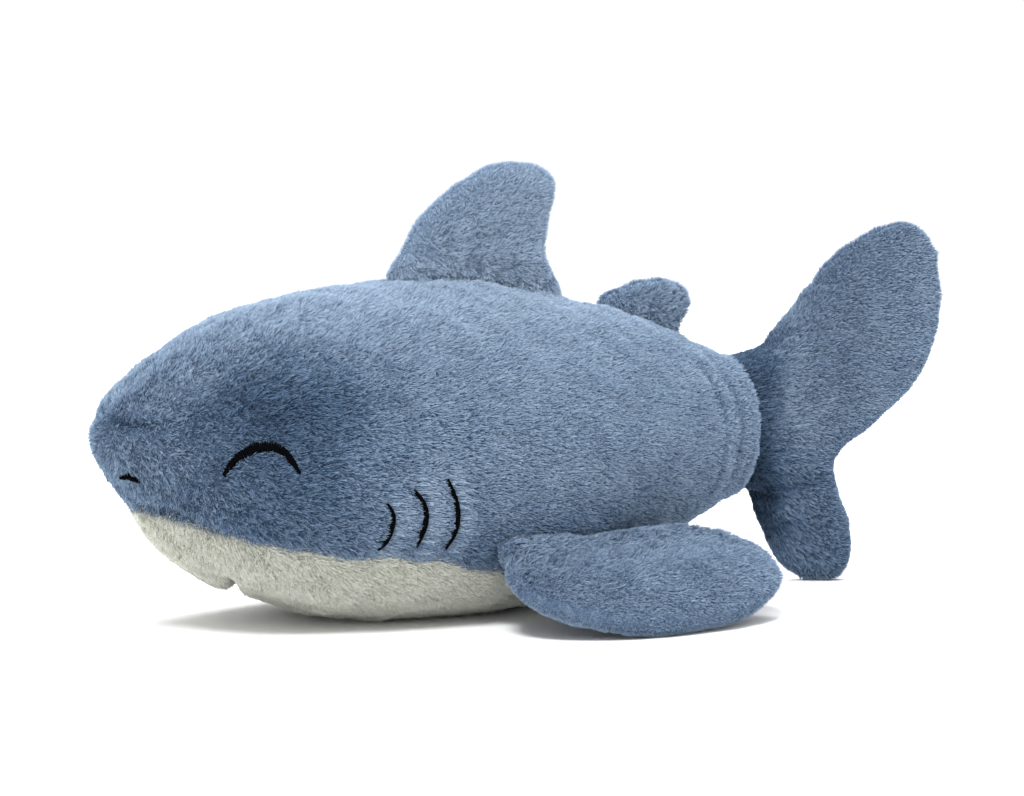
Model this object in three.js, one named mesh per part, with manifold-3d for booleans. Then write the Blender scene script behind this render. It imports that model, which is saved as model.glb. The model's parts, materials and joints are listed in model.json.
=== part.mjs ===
// Plush shark: a stuffed body in pile fabric with five stuffed fins that bend at their seams.
// Millimetres, +Z up. The nose points to -X, the left side to -Y, and the belly rests on z = 0.
import * as THREE from 'three';
import Module from 'manifold-3d';

const wasm = await Module();
wasm.setup();

// ---- driving dimensions -------------------------------------------------------------------
const PANEL = 4;              // thickness of the pile fabric
const SEAM_GAP = 0.3;         // gap kept between neighbouring pieces
const COVER_MESH = [28, 10];  // points round the body, sections along its straight part
const INNER_MESH = [20, 7];   // the same for the inside of the cover and the stuffing
const NOSE_SECTIONS = 7;      // sections over the rounded snout
const NOSE_TIP = 0.15;        // size of the first section, as a share of the next one
const REAR_TURNS = [90, 60, 30, 4];   // degrees round the tail stem's end, one for each section
const ROLL_MESH = [14, 2];    // points round a fin root, steps over its rounded end

const NOSE_ROUND = 70;        // length over which the snout rounds off
const REAR_ROUND = 12;        // length over which the tail stem rounds off
const BODY_LENGTH = 346;      // nose to the end of the tail stem
const NOSE_HEIGHT = 86;       // height of the tip of the nose
const REAR_HEIGHT = 76;       // height of the middle of the tail stem
const WIDEST_LEVEL = 0.42;    // where the body is widest, as a share of its height
const SECTION_UPPER = 2.1;    // roundness of the section above and below the widest level
const SECTION_LOWER = 2.3;

// [distance behind the nose, height] of the back, the underside and the seam to the cream fabric
const BACK = [[0, 121], [20, 123], [42, 129], [70, 138], [100, 144.5], [130, 147], [160, 147],
  [240, 137], [260, 132], [283, 123], [317, 110], [346, 107]];
const UNDERSIDE = [[0, 46], [15, 41], [30, 31], [45, 24], [65, 16], [95, 4], [125, -2], [150, -3],
  [190, -3], [215, 0], [240, 7], [265, 16], [290, 27], [316, 40], [346, 48]];
const SEAM = [[-10, 62], [0, 60], [10, 56], [20, 53], [31, 50], [49, 44.5], [77, 38.5],
  [106, 34], [135, 29], [165, 22.5], [200, 18], [240, 19], [270, 25], [295, 34], [308, 37],
  [325, 30], [350, 10]];
const SEAM_STEP = 10;         // distance between the points of the seam that is cut
// [distance behind the nose, half width] and [distance, sideways bend of the tail stem]
const HALF_WIDTH = [[0, 44], [30, 52], [60, 62], [90, 70], [120, 76], [150, 78], [180, 77],
  [210, 71], [240, 62], [270, 51], [300, 39], [320, 31], [346, 26]];
const BEND = [[0, 0], [200, 0], [250, -1], [300, -6], [346, -16]];

const MOUTH_TUCK = 70;        // distance of the mouth tuck behind the nose

// hinge lines along which the fins bend, and the half thickness of each fin at its root
const TAIL_HINGE = [350, -17];
const TAIL_BEND = 30;         // degrees that the tail fin is turned to the left at rest
const TAIL_ROOT = { radius: 15, low: 56, high: 98 };
const DORSAL_ROOT = { radius: 9, start: 157, end: 226 };
const SECOND_ROOT = { radius: 7, start: 267, end: 300 };
const PECTORAL_ROOT = { radius: 8, start: 157, end: 190, side: 77.5, height: 34 };
const PECTORAL_DROOP = 28;    // degrees that the pectoral fins slope down to the floor
const ROOT_SINK = 4;          // depth of the groove in the body under each root
const ROOT_CLEAR = 0.5;       // clearance of a root in its groove
const TAIL_CLEAR = 1;         // clearance of the tail root in the end of the body
const TAIL_SEAT = 0.72;       // distance from the tail hinge to the body, as a share of the radius
const TAIL_SKIRT = 12;        // how far under the tail root its fin is cut to the same line
const ROLL_END = 81;          // degrees over which the end of a root is rounded
const STUFFING_CLEAR = 0.6;   // how far a fin's stuffing stays behind its hinge line

// fin outlines in the plane of each fin: along the body and away from it
const TAIL_OUTLINE = [[-13, 88], [-11, 104], [-6, 117], [7, 134], [21, 150.5], [37, 162.5],
  [50, 168.5], [61, 169.5], [70, 162], [76, 147], [77, 130], [72, 107], [59, 86], [40, 69],
  [27, 58], [30, 44], [36, 28], [38, 12], [33, 2], [19, 0], [7, 2.5], [-4, 12], [-13, 29],
  [-16, 42], [-14, 66]];
const TAIL_CENTRE = [12, 70];
const DORSAL_OUTLINE = [[143, 147], [147, 156], [155, 168], [163, 177], [171, 183.5], [179, 189],
  [187, 193], [195, 196.5], [203, 198.5], [211, 199.5], [219, 199.3], [227, 197.5], [234, 193],
  [236.5, 186], [232, 174], [230, 160], [232, 148], [239, 138], [222, 138], [190, 142],
  [160, 145]];
const DORSAL_CENTRE = [193, 166];
const SECOND_OUTLINE = [[257, 132], [260, 135], [267, 139.5], [276, 143], [286, 144.5],
  [295, 144.5], [303, 143], [309, 139], [312, 131], [308, 122], [305, 113], [296, 117],
  [280, 124], [266, 129]];
const SECOND_CENTRE = [286, 131];
const PECTORAL_OUTLINE = [[150, 0], [146, 15], [148, 32], [158, 47], [174, 58], [194, 64],
  [217, 65], [242, 62], [265, 54], [282, 42], [289, 27], [286, 10], [273, -2], [250, -8],
  [224, -7], [194, -3], [166, -1]];
const PECTORAL_CENTRE = [212, 30];
const THICK = { tail: 15, dorsal: 12, second: 7, pectoral: 13 };   // half thickness, full part
const PILLOW_RINGS = [0.35, 0.68, 0.89, 1];   // rings of a fin, as shares of the way to its edge
const PILLOW_ROUND = 2.6;     // how long a fin stays thick on the way to its edge

// embroidered lines: [distance behind the nose, height] on the side of the body
const EYE = [[36.5, 72.5], [40, 79], [45, 83.5], [51.5, 84.5], [58, 83], [62, 78.5], [65, 73]];
const GILLS = [
  [[102.5, 58.5], [105.5, 53.5], [105.5, 47], [104, 42], [100.5, 38]],
  [[115, 64], [119, 58], [120.5, 51.5], [119.5, 45], [117, 39]],
  [[130, 67], [133.5, 60], [136, 52], [135, 44], [131.5, 36]],
];
const NOSTRIL = [[7, 70], [12, 67.5]];
const THREAD = { eye: [2, 1.1], gill: [0.9, 0.8], nostril: [1, 0.8] };   // half width, half height
const THREAD_TAPER = { eye: 0.6, gill: 0.3, nostril: 0.4 };   // share of the width lost at the ends
const THREAD_LIFT = 0.9;      // gap under the thread, so that it clears the curved fabric
const THREAD_MESH = [9, 6];   // steps along a line, points round it

const COLOURS = {
  blue: '#74899f', cream: '#b3b2ab', fin: '#6b8299', stuffing: '#e9e7e0', thread: '#17181b',
};

// ---- curves and lofted solids ---------------------------------------------------------------

// height of a smooth line through points sorted by their first value
function along(points, x) {
  let i = 0;
  while (i < points.length - 2 && x > points[i + 1][0]) i++;
  const slope = (k) => {
    const a = points[Math.max(k - 1, 0)], b = points[Math.min(k + 1, points.length - 1)];
    return (b[1] - a[1]) / (b[0] - a[0]);
  };
  const [x0, y0] = points[i], [x1, y1] = points[i + 1];
  const w = x1 - x0, t = THREE.MathUtils.clamp((x - x0) / w, 0, 1);
  return y0 * (1 + 2 * t) * (1 - t) ** 2 + y1 * t * t * (3 - 2 * t)
    + slope(i) * w * t * (1 - t) ** 2 - slope(i + 1) * w * t * t * (1 - t);
}

// closed solid through rings of points, each end closed by a fan round its middle
function loft(rings) {
  const n = rings[0].length;
  const points = rings.flat();
  const triangles = [];
  for (let i = 0; i < rings.length - 1; i++) {
    for (let j = 0; j < n; j++) {
      const a = i * n + j, b = i * n + (j + 1) % n;
      triangles.push(a, b, a + n, b, b + n, a + n);
    }
  }
  for (const [ring, flip] of [[0, false], [rings.length - 1, true]]) {
    const middle = rings[ring].reduce((sum, p) => sum.add(p), new THREE.Vector3());
    points.push(middle.divideScalar(n));
    for (let j = 0; j < n; j++) {
      const a = ring * n + j, b = ring * n + (j + 1) % n, c = points.length - 1;
      triangles.push(...(flip ? [a, b, c] : [b, a, c]));
    }
  }
  return solid(points, triangles);
}

function solid(points, triangles) {
  let volume = 0;
  for (let i = 0; i < triangles.length; i += 3) {
    const [a, b, c] = [0, 1, 2].map((k) => points[triangles[i + k]]);
    volume += a.dot(b.clone().cross(c));
  }
  const facing = volume > 0 ? triangles : triangles.slice().reverse();
  return new wasm.Manifold(new wasm.Mesh({
    numProp: 3,
    vertProperties: new Float32Array(points.flatMap((p) => p.toArray())),
    triVerts: new Uint32Array(facing),
  }));
}

// flat-sided solid: an outline in the XZ plane carried from one y to another
function slab(outline, yFrom, yTo) {
  return loft([yFrom, yTo].map((y) => outline.map(([x, z]) => new THREE.Vector3(x, y, z))));
}

// round bar with rounded ends between two points
function roll(from, to, radius) {
  const a = new THREE.Vector3(...from), b = new THREE.Vector3(...to);
  const axis = b.clone().sub(a).normalize();
  const side = new THREE.Vector3(0, 0, 1).cross(axis);
  if (side.length() < 0.5) side.set(1, 0, 0);
  side.normalize();
  const up = axis.clone().cross(side);
  const [count, steps] = ROLL_MESH;
  const rings = [];
  for (const [end, sign] of [[a, -1], [b, 1]]) {
    const caps = [];
    for (let i = 0; i <= steps; i++) {
      const angle = THREE.MathUtils.degToRad(ROLL_END) * i / steps;
      caps.push(Array.from({ length: count }, (_, j) => {
        const turn = (j / count) * 2 * Math.PI, r = radius * Math.cos(angle);
        return end.clone().addScaledVector(axis, sign * radius * Math.sin(angle))
          .addScaledVector(side, r * Math.cos(turn)).addScaledVector(up, r * Math.sin(turn));
      }));
    }
    rings.push(...(sign < 0 ? caps.reverse() : caps));
  }
  return loft(rings);
}

// ---- body -----------------------------------------------------------------------------------

// how far the section has opened at a distance behind the nose, from 0 at a tip to 1
function opening(x, from, to) {
  const nose = THREE.MathUtils.clamp(1 - (x - from) / NOSE_ROUND, 0, 1);
  const rear = THREE.MathUtils.clamp(1 - (to - x) / REAR_ROUND, 0, 1);
  return Math.sqrt(1 - nose * nose) * Math.sqrt(1 - rear * rear);
}

// section of the body, drawn in by the thickness of whatever lies outside it
function section(x, inset = 0) {
  const open = opening(x, inset, BODY_LENGTH - inset);
  const middle = x < BODY_LENGTH / 2 ? NOSE_HEIGHT : REAR_HEIGHT;
  const top = middle + open * (along(BACK, x) - inset - middle);
  const low = middle + open * (along(UNDERSIDE, x) + inset - middle);
  return {
    top, low,
    widest: low + WIDEST_LEVEL * (top - low),
    half: open * (along(HALF_WIDTH, x) - inset),
    centre: along(BEND, x),
  };
}

function bodySolid(inset, [round, stepsMiddle]) {
  const stations = [];
  const from = inset, to = BODY_LENGTH - inset;
  for (let i = 0; i < NOSE_SECTIONS; i++) {
    const turn = Math.max(i, NOSE_TIP) / NOSE_SECTIONS * Math.PI / 2;
    stations.push(from + NOSE_ROUND * (1 - Math.cos(turn)));
  }
  for (let i = 0; i < stepsMiddle; i++) {
    stations.push(from + NOSE_ROUND + (to - REAR_ROUND - from - NOSE_ROUND) * i / stepsMiddle);
  }
  for (const turn of REAR_TURNS) {
    stations.push(to - REAR_ROUND * (1 - Math.cos(THREE.MathUtils.degToRad(turn))));
  }
  return loft(stations.map((x) => {
    const s = section(x, inset);
    return Array.from({ length: round }, (_, j) => {
      const turn = (j / round) * 2 * Math.PI, c = Math.cos(turn), v = Math.sin(turn);
      const power = 2 / (v > 0 ? SECTION_UPPER : SECTION_LOWER);
      const rise = v > 0 ? s.top - s.widest : s.widest - s.low;
      return new THREE.Vector3(x, s.centre + s.half * Math.sign(c) * Math.abs(c) ** power,
        s.widest + rise * Math.sign(v) * Math.abs(v) ** power);
    });
  }));
}

// point on the left side of the body, moved out by a distance
function onSide(x, z, out) {
  const y = (px, pz) => {
    const s = section(px);
    const v = pz > s.widest ? (pz - s.widest) / (s.top - s.widest)
      : (s.widest - pz) / (s.widest - s.low);
    const power = pz > s.widest ? SECTION_UPPER : SECTION_LOWER;
    return s.centre - s.half * Math.max(1 - Math.min(v, 1) ** power, 0) ** (1 / power);
  };
  const d = 0.5;
  const normal = new THREE.Vector3((y(x + d, z) - y(x - d, z)) / (2 * d), -1,
    (y(x, z + d) - y(x, z - d)) / (2 * d)).normalize();
  return { point: new THREE.Vector3(x, y(x, z), z).addScaledVector(normal, out), normal };
}

// everything below the seam line between the blue and the cream fabric
function belowSeam(lift) {
  const line = [];
  const from = SEAM[0][0], to = SEAM[SEAM.length - 1][0];
  for (let x = from; x <= to; x += SEAM_STEP) line.push([x, along(SEAM, x) + lift]);
  return slab([...line, [to, -FAR], [from, -FAR]], -FAR, FAR);
}

function box(low, high) {
  return slab([[low[0], low[2]], [high[0], low[2]], [high[0], high[2]], [low[0], high[2]]],
    low[1], high[1]);
}

const FAR = 600;
const aboveFloor = box([-FAR, -FAR, 0], [FAR, FAR, FAR]);
const leftHalf = (gap) => box([-FAR, -FAR, -FAR], [FAR, -gap / 2, FAR]);
const rightHalf = (gap) => box([-FAR, gap / 2, -FAR], [FAR, FAR, FAR]);
const mirrorLeft = (s) => s.mirror([0, 1, 0]);

// ends of the hinge line of a fin that stands on the back
function backHinge({ radius, start, end }) {
  return [start, end].map((x) => [x, 0, along(BACK, x) + radius - ROOT_SINK]);
}

// grooves in which the fin roots lie
function grooves() {
  const upright = [DORSAL_ROOT, SECOND_ROOT].map((root) =>
    roll(...backHinge(root), root.radius + ROOT_CLEAR));
  const { start, end, side, height, radius } = PECTORAL_ROOT;
  const pectoral = roll([start, -side, height], [end, -side, height], radius + ROOT_CLEAR);
  const [x, y] = TAIL_HINGE;
  const tail = roll([x, y, 0], [x, y, FAR], TAIL_ROOT.radius + TAIL_CLEAR);
  const room = box([x - TAIL_SEAT * TAIL_ROOT.radius, -FAR, 0], [FAR, FAR, FAR]);
  return [...upright, pectoral, mirrorLeft(pectoral), tail, room];
}

// ---- fins -----------------------------------------------------------------------------------

// outline smoothed to a given number of points
function smoothOutline(points, count) {
  const curve = new THREE.CatmullRomCurve3(points.map(([a, b]) => new THREE.Vector3(a, b, 0)),
    true, 'centripetal');
  return curve.getSpacedPoints(count).slice(0, count);
}

// two-sided pillow over an outline in the XZ plane: full in its middle, thin at its edge
function pillow(outline, centre, thick, count, inset = 0) {
  const rim = smoothOutline(outline, count);
  const middle = new THREE.Vector3(...centre, 0);
  const drawn = rim.map((p) => p.clone().lerp(middle, inset / p.distanceTo(middle)));
  const ring = (share, side) => drawn.map((p) => {
    const q = middle.clone().lerp(p, share);
    return new THREE.Vector3(q.x, side * (thick - inset) * Math.sqrt(1 - share ** PILLOW_ROUND), q.y);
  });
  return loft([...PILLOW_RINGS.map((s) => ring(s, 1)),
    ...PILLOW_RINGS.slice(0, -1).reverse().map((s) => ring(s, -1))]);
}

// cover panels and stuffing of a fin lying in the XZ plane, with its root rolled along a line
// and everything past that line cut away
function fin({ outline, centre, thick, counts, line, radius, past, away }) {
  const shape = (count, inset) => pillow(outline, centre, thick, count, inset).subtract(past);
  const inner = PANEL - 1;
  const cover = shape(counts[0], 0).add(roll(...line, radius)).subtract(shape(counts[1], inner));
  const pastGap = past.translate(away.map((d) => d * STUFFING_CLEAR));
  return {
    left: cover.intersect(leftHalf(SEAM_GAP)),
    right: cover.intersect(rightHalf(SEAM_GAP)),
    stuffing: shape(counts[1], inner + SEAM_GAP).subtract(pastGap),
  };
}

// ---- embroidery -----------------------------------------------------------------------------

// raised line of satin stitches on the left side, widest in its middle
function stitchedLine(points, [halfWide, halfHigh], taper) {
  const [steps, around] = THREAD_MESH;
  const curve = new THREE.CatmullRomCurve3(points.map(([x, z]) => new THREE.Vector3(x, z, 0)));
  const path = curve.getSpacedPoints(steps).map((p) => onSide(p.x, p.y, halfHigh + THREAD_LIFT));
  return loft(path.map(({ point, normal }, i) => {
    const ahead = path[Math.min(i + 1, steps)].point.clone()
      .sub(path[Math.max(i - 1, 0)].point).normalize();
    const across = ahead.cross(normal).normalize();
    const wide = halfWide * (1 - taper * Math.abs(2 * i / steps - 1) ** 2);
    return Array.from({ length: around }, (_, j) => {
      const turn = (j / around) * 2 * Math.PI;
      return point.clone().addScaledVector(across, wide * Math.cos(turn))
        .addScaledVector(normal, halfHigh * Math.sin(turn));
    });
  }));
}

// ---- assembly -------------------------------------------------------------------------------

const shark = new THREE.Group();
shark.name = 'plush_shark';

function addPiece(name, shape, colour, roughness) {
  const mesh = shape.getMesh();
  const geometry = new THREE.BufferGeometry();
  geometry.setAttribute('position', new THREE.BufferAttribute(mesh.vertProperties, 3));
  geometry.setIndex(new THREE.BufferAttribute(mesh.triVerts, 1));
  geometry.computeVertexNormals();
  const material = new THREE.MeshStandardMaterial({ color: colour, roughness, metalness: 0 });
  const piece = new THREE.Mesh(geometry, material);
  piece.name = name;
  shark.add(piece);
}

const addPanel = (name, shape, colour) => addPiece(name, shape, colour, 0.95);
const addStuffing = (name, shape) => addPiece(name, shape, COLOURS.stuffing, 1);
const addThread = (name, shape) => addPiece(name, shape, COLOURS.thread, 0.5);

function buildBody() {
  const cut = (shape) => grooves().reduce((s, groove) => s.subtract(groove), shape);
  const hollow = bodySolid(PANEL, INNER_MESH);
  const cover = cut(bodySolid(0, COVER_MESH).intersect(aboveFloor)
    .subtract(hollow));
  const blue = cover.subtract(belowSeam(0));
  const cream = cover.intersect(belowSeam(-SEAM_GAP));
  addPanel('body_panel_left', blue.intersect(leftHalf(SEAM_GAP)), COLOURS.blue);
  addPanel('body_panel_right', blue.intersect(rightHalf(SEAM_GAP)), COLOURS.blue);
  const chin = box([-FAR, -FAR, -FAR], [MOUTH_TUCK, FAR, FAR]);
  const rest = box([MOUTH_TUCK + SEAM_GAP, -FAR, -FAR], [FAR, FAR, FAR]);
  addPanel('chin_panel', cream.intersect(chin), COLOURS.cream);
  addPanel('belly_panel', cream.intersect(rest), COLOURS.cream);
  addStuffing('body_stuffing', cut(bodySolid(PANEL + SEAM_GAP, INNER_MESH)));
}

function buildUprightFins() {
  const fins = [
    ['dorsal_fin', DORSAL_OUTLINE, DORSAL_CENTRE, THICK.dorsal, DORSAL_ROOT, [32, 22]],
    ['second_dorsal_fin', SECOND_OUTLINE, SECOND_CENTRE, THICK.second, SECOND_ROOT, [24, 18]],
  ];
  for (const [name, outline, centre, thick, root, counts] of fins) {
    const line = backHinge(root);
    const [[x0, , z0], [x1, , z1]] = line;
    const steep = (z1 - z0) / (x1 - x0);
    const past = slab([[x0 - FAR, z0 - FAR * steep], [x1 + FAR, z1 + FAR * steep],
      [x1 + FAR, -FAR], [x0 - FAR, -FAR]], -FAR, FAR);
    const parts = fin({ outline, centre, thick, counts, line, radius: root.radius, past,
      away: [0, 0, 1] });
    addPanel(`${name}_panel_left`, parts.left, COLOURS.fin);
    addPanel(`${name}_panel_right`, parts.right, COLOURS.fin);
    addStuffing(`${name}_stuffing`, parts.stuffing);
  }
}

function buildTailFin() {
  const { radius, low, high } = TAIL_ROOT;
  const past = box([-FAR, -FAR, low - TAIL_SKIRT], [-TAIL_SEAT * radius, FAR, FAR]);
  const parts = fin({ outline: TAIL_OUTLINE, centre: TAIL_CENTRE, thick: THICK.tail,
    counts: [44, 30], line: [[0, 0, low], [0, 0, high]], radius, past, away: [1, 0, 0] });
  const place = (s) => s.rotate([0, 0, -TAIL_BEND]).translate([...TAIL_HINGE, 0]);
  addPanel('tail_fin_panel_left', place(parts.left), COLOURS.fin);
  addPanel('tail_fin_panel_right', place(parts.right), COLOURS.fin);
  addStuffing('tail_fin_stuffing', place(parts.stuffing));
}

function buildPectoralFins() {
  const { start, end, side, height, radius } = PECTORAL_ROOT;
  const parts = fin({ outline: PECTORAL_OUTLINE, centre: PECTORAL_CENTRE,
    thick: THICK.pectoral, counts: [32, 22], line: [[start, 0, 0], [end, 0, 0]], radius,
    past: box([-FAR, -FAR, -FAR], [end + radius, FAR, 0]), away: [0, 0, 1] });
  const place = (s) => s.rotate([90 + PECTORAL_DROOP, 0, 0]).translate([0, -side, height])
    .intersect(aboveFloor);
  for (const [name, turn] of [['left', (s) => s], ['right', mirrorLeft]]) {
    addPanel(`pectoral_fin_${name}_panel_upper`, turn(place(parts.right)), COLOURS.fin);
    addPanel(`pectoral_fin_${name}_panel_lower`, turn(place(parts.left)), COLOURS.fin);
    addStuffing(`pectoral_fin_${name}_stuffing`, turn(place(parts.stuffing)));
  }
}

function buildEmbroidery() {
  const lines = [['eye', stitchedLine(EYE, THREAD.eye, THREAD_TAPER.eye)],
    ['nostril', stitchedLine(NOSTRIL, THREAD.nostril, THREAD_TAPER.nostril)]];
  GILLS.forEach((gill, i) => lines.push([`gill_${i + 1}`,
    stitchedLine(gill, THREAD.gill, THREAD_TAPER.gill)]));
  for (const [name, line] of lines) {
    addThread(`${name}_left`, line);
    addThread(`${name}_right`, mirrorLeft(line));
  }
}

buildBody();
buildUprightFins();
buildTailFin();
buildPectoralFins();
buildEmbroidery();

// the part's origin is the middle of its footprint
const size = new THREE.Box3().setFromObject(shark);
const middle = size.getCenter(new THREE.Vector3());
shark.position.set(-middle.x, -middle.y, -size.min.z);
shark.updateMatrixWorld(true);

export default shark;
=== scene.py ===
import bmesh
import bpy
import json
import math
from collections import namedtuple
import numpy as np
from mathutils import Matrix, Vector
from mathutils.bvhtree import BVHTree


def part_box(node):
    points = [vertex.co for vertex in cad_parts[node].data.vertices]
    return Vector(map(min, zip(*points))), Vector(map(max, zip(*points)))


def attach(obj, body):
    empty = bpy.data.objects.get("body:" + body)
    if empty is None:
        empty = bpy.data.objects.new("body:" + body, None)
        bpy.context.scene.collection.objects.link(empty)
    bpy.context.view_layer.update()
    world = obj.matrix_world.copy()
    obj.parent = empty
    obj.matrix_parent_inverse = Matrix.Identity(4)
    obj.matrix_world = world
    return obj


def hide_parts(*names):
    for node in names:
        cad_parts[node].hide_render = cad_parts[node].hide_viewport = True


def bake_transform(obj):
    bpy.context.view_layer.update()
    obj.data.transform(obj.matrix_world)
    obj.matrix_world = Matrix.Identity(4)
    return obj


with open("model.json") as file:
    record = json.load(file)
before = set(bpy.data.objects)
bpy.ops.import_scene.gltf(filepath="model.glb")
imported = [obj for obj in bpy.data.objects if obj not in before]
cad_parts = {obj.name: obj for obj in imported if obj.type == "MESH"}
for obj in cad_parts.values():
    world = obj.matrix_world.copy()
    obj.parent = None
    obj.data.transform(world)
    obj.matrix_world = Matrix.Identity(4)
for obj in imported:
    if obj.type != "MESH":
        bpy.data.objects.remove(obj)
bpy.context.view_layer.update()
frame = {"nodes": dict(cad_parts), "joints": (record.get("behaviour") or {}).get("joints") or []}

# ---- sizes, in metres ----
PILE = 0.0036            # length of a strand of pile
PILE_SINK = 0.0022       # how far the backing lies under the tips of the pile
FLOOR_GAP = 0.0004       # what stays free between the tips and the floor
FLOOR_PILE = 0.001       # pile where the toy rests on the floor
BACKING = 0.0012         # thickness of the backing cloth
STRANDS_PER_M2 = 4.0e6
STRAND_RADIUS = 0.00012  # at the root
STRAND_POINTS = 4
OWN_WHIM = 0.28          # how much a strand strays from its neighbours, against its nap of 1
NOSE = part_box("body_panel_left")[0][0]


def behind(x):
    """Place along the body at a distance behind the nose."""
    return NOSE + x


# ---- small mesh tools ----
def node_mesh(nodes):
    """One mesh that joins copies of CAD nodes, in the row frame."""
    bm = bmesh.new()
    for n in nodes:
        o = frame["nodes"][n]
        part = o.data.copy()
        part.transform(o.matrix_world)
        bm.from_mesh(part)
        bpy.data.meshes.remove(part)
    mesh = bpy.data.meshes.new("work")
    bm.to_mesh(mesh)
    bm.free()
    return mesh


def new_object(name, mesh):
    mesh.name = name
    o = bpy.data.objects.new(name, mesh)
    bpy.context.scene.collection.objects.link(o)
    return o


def bake_modifiers(o):
    """The object's mesh with its modifiers applied."""
    dg = bpy.context.evaluated_depsgraph_get()
    done = bpy.data.meshes.new_from_object(o.evaluated_get(dg))
    o.modifiers.clear()
    old, o.data = o.data, done
    bpy.data.meshes.remove(old)


def coords(mesh):
    co = np.empty(len(mesh.vertices) * 3)
    mesh.vertices.foreach_get("co", co)
    return co.reshape(-1, 3)


def normals(mesh):
    n = np.empty(len(mesh.vertices) * 3)
    mesh.vertex_normals.foreach_get("vector", n)
    return n.reshape(-1, 3)


def set_coords(mesh, co):
    mesh.vertices.foreach_set("co", np.ascontiguousarray(co, np.float32).ravel())
    mesh.update()


def smooth_faces(mesh):
    for p in mesh.polygons:
        p.use_smooth = True


def remesh(o, voxel, smooth):
    """One even closed skin over everything in the object, smoothed a few times."""
    m = o.modifiers.new("remesh", "REMESH")
    m.mode = "VOXEL"
    m.voxel_size = voxel
    s = o.modifiers.new("smooth", "SMOOTH")
    s.factor, s.iterations = 0.5, smooth
    bake_modifiers(o)


def keep_biggest(o):
    """Drops everything but the largest connected part, such as the skin of an inner hollow."""
    bm = bmesh.new()
    bm.from_mesh(o.data)
    left, groups = set(bm.verts), []
    while left:
        seed = left.pop()
        group, stack = [seed], [seed]
        while stack:
            for e in stack.pop().link_edges:
                for v in e.verts:
                    if v in left:
                        left.discard(v)
                        group.append(v)
                        stack.append(v)
        groups.append(group)
    big = max(groups, key=len)
    bmesh.ops.delete(bm, geom=[v for g in groups if g is not big for v in g], context="VERTS")
    bm.to_mesh(o.data)
    bm.free()


def inflate(o, pins, cap, pressure=4.0, frames=20):
    """Stuffs a closed cover by cloth simulation: air pressure inside, the seams held."""
    rest = coords(o.data)
    group = o.vertex_groups.new(name="held")
    for i in np.nonzero(pins > 0.02)[0]:
        group.add([int(i)], float(pins[i]), "REPLACE")
    m = o.modifiers.new("cloth", "CLOTH")
    c = m.settings
    c.use_pressure, c.uniform_pressure_force = True, pressure
    c.quality = 4
    c.mass = 0.3
    c.tension_stiffness = c.compression_stiffness = 12
    c.shear_stiffness = 6
    c.bending_stiffness = 0.6
    c.effector_weights.gravity = 0
    c.vertex_group_mass = "held"
    c.pin_stiffness = 1
    m.collision_settings.use_collision = False
    m.point_cache.frame_start, m.point_cache.frame_end = 1, frames
    scene = bpy.context.scene
    for f in range(1, frames + 1):
        scene.frame_set(f)
    bake_modifiers(o)
    scene.frame_set(1)
    move = coords(o.data) - rest
    far = np.linalg.norm(move, axis=1)
    move *= np.minimum(1, cap / np.maximum(far, 1e-9))[:, None]
    set_coords(o.data, rest + move)
    o.vertex_groups.clear()


def subdivide(o, levels=1):
    s = o.modifiers.new("round", "SUBSURF")
    s.levels = s.render_levels = levels
    bake_modifiers(o)


def bump(d, width):
    """1 on a line, falling smoothly to 0 at about twice the width away from it."""
    return np.exp(-((d / width) ** 2))


def ease(x, low, high):
    t = np.clip((x - low) / (high - low), 0, 1)
    return t * t * (3 - 2 * t)


def noise(co, scale, seed):
    """Smooth repeatable noise of about -1 to 1 at points, features about scale metres wide."""
    rng = np.random.default_rng(seed)
    out = np.zeros(len(co))
    for _ in range(10):
        d = rng.normal(size=3)
        d *= rng.uniform(0.6, 1.5) / np.linalg.norm(d) * 2 * np.pi / scale
        out += np.sin(co @ d + rng.uniform(0, 2 * np.pi))
    return out / 3.2  # ten waves seldom add up to more


def line_distance(co, line):
    """Distance from points to a polyline."""
    return np.linalg.norm(from_line(co, line), axis=1)


def from_line(co, line):
    """Way to each point from the nearest place on a polyline."""
    way = np.full(co.shape, 1e6)
    for a, b in zip(line[:-1], line[1:]):
        ab = b - a
        t = np.clip((co - a) @ ab / (ab @ ab), 0, 1)
        new = co - a - t[:, None] * ab
        nearer = (new * new).sum(1) < (way * way).sum(1)
        way[nearer] = new[nearer]
    return way


def middle_line(node, around=6):
    """Ring middles along a long thin CAD node with so many points round it, from end to end."""
    mesh = node_mesh([node])
    left = np.unique(coords(mesh).round(6), axis=0)
    bpy.data.meshes.remove(mesh)
    axis = np.linalg.svd(left - left.mean(0), full_matrices=False)[2][0]
    spot = left[np.argmin(left @ axis)]
    line, size = [], around + 1
    while len(left):
        near = np.argsort(np.linalg.norm(left - spot, axis=1))[:size]
        spot = left[near].mean(0)
        near = np.argsort(np.linalg.norm(left - spot, axis=1))[:size]
        line.append(left[near].mean(0))
        left = np.delete(left, near, axis=0)
        size = around + 1 if len(left) <= around + 1 else around
    return np.array(line)


# ---- materials ----
def link(tree, a, b):
    tree.links.new(a, b)


def named(tree, kind, **values):
    n = tree.nodes.new(kind)
    for k, v in values.items():
        if hasattr(n, k):
            setattr(n, k, v)
        else:
            n.inputs[k.replace("_", " ")].default_value = v
    return n


def math_node(tree, op, a, b=None, c=None, clamp=False):
    """Adds a maths step; each input is a number or the output of another node."""
    n = tree.nodes.new("ShaderNodeMath")
    n.operation, n.use_clamp = op, clamp
    for i, x in enumerate((a, b, c)):
        if x is None:
            continue
        if isinstance(x, (int, float)):
            n.inputs[i].default_value = x
        else:
            link(tree, x, n.inputs[i])
    return n.outputs[0]


def new_material(name):
    m = bpy.data.materials.new(name)
    m.use_nodes = True
    return m, m.node_tree, m.node_tree.nodes["Principled BSDF"]


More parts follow.
